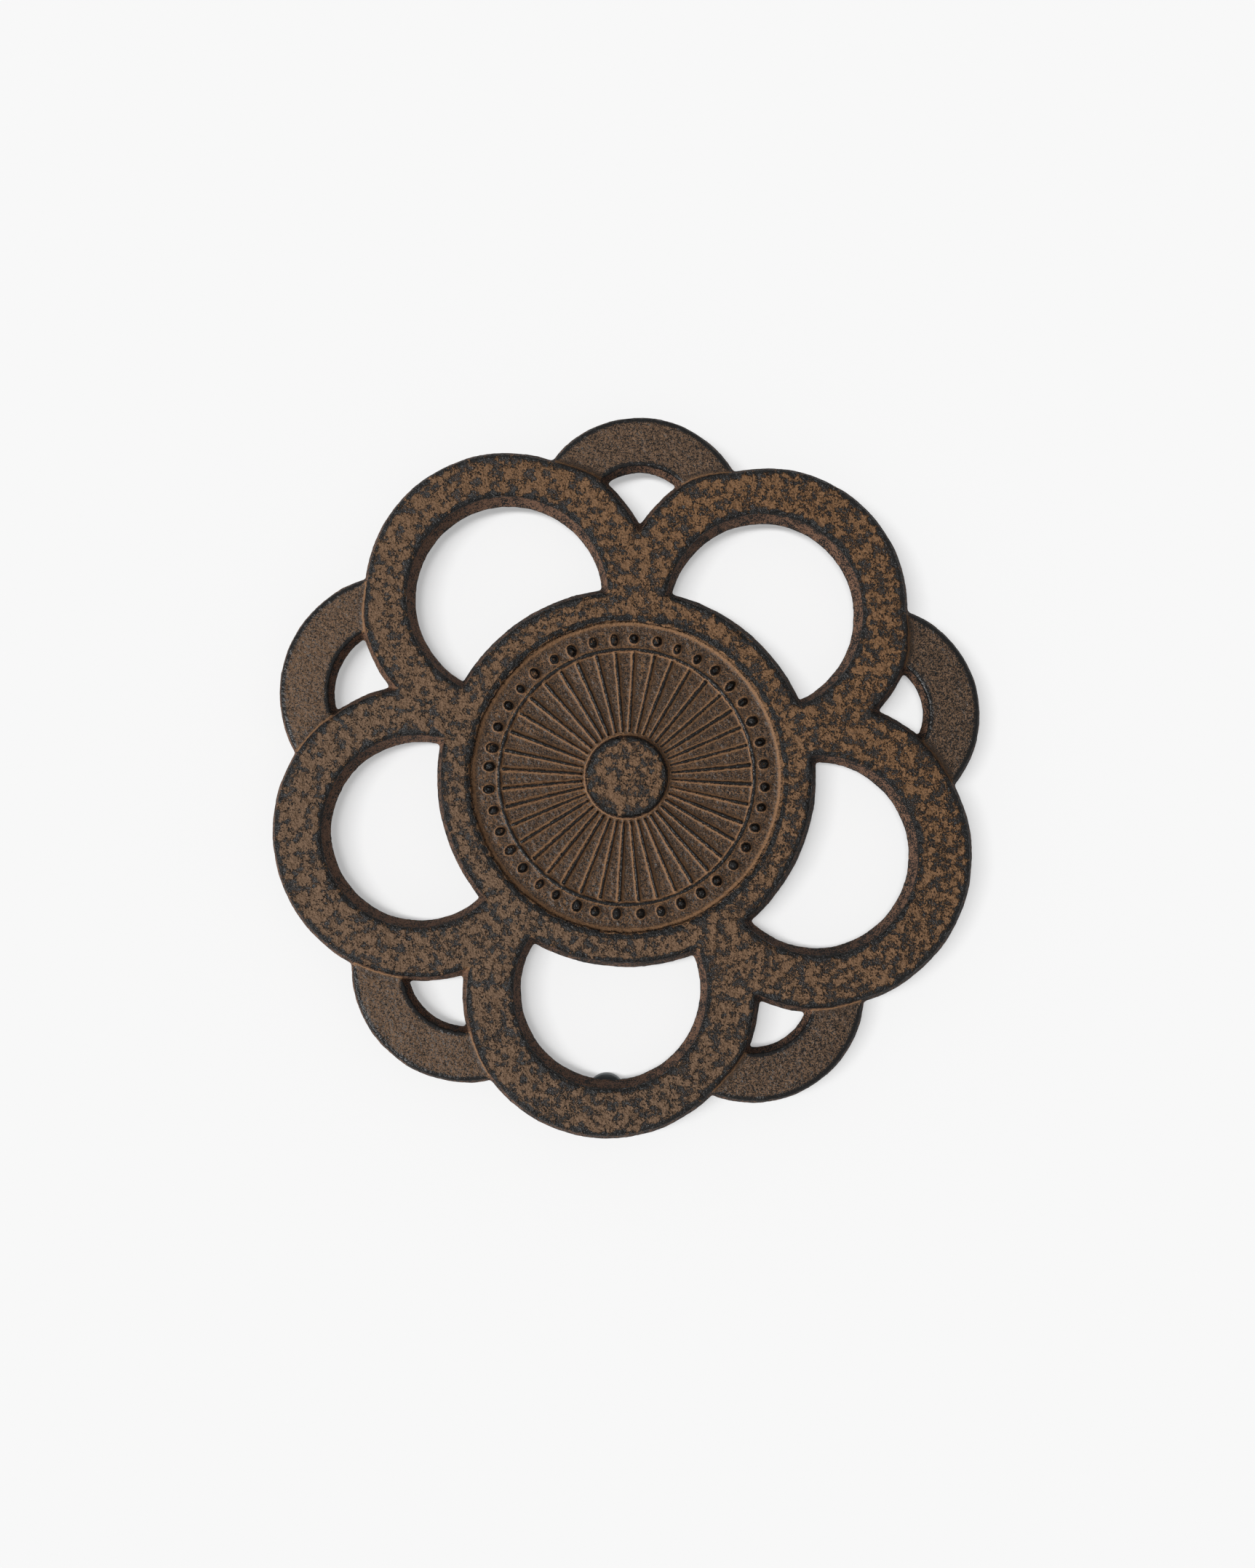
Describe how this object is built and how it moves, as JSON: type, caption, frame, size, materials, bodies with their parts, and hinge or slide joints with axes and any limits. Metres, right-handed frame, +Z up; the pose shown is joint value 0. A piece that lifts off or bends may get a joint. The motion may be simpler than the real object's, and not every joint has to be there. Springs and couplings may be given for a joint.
{
  "type": "trivet",
  "caption": "Round cast-iron trivet: a ribbed and beaded medallion inside ring petals, lower petals behind them, and rubber-capped legs that hold a hot pot clear of a table.",
  "frame": {"origin": "on the table under the middle of the hub", "axes": "+Z up, -Y to the petal with the foot that shows in its window"},
  "size_m": [0.1554, 0.16, 0.014],
  "materials": {
    "lacquered_iron": "black sand-cast iron with a brown baked lacquer, mottled on the upper faces",
    "cap_rubber": "matt moulded rubber"
  },
  "bodies": {
    "root": {"iron_casting": "lacquered_iron", "front_foot": "cap_rubber", "right_foot": "cap_rubber", "left_foot": "cap_rubber"}
  },
  "joints": []
}
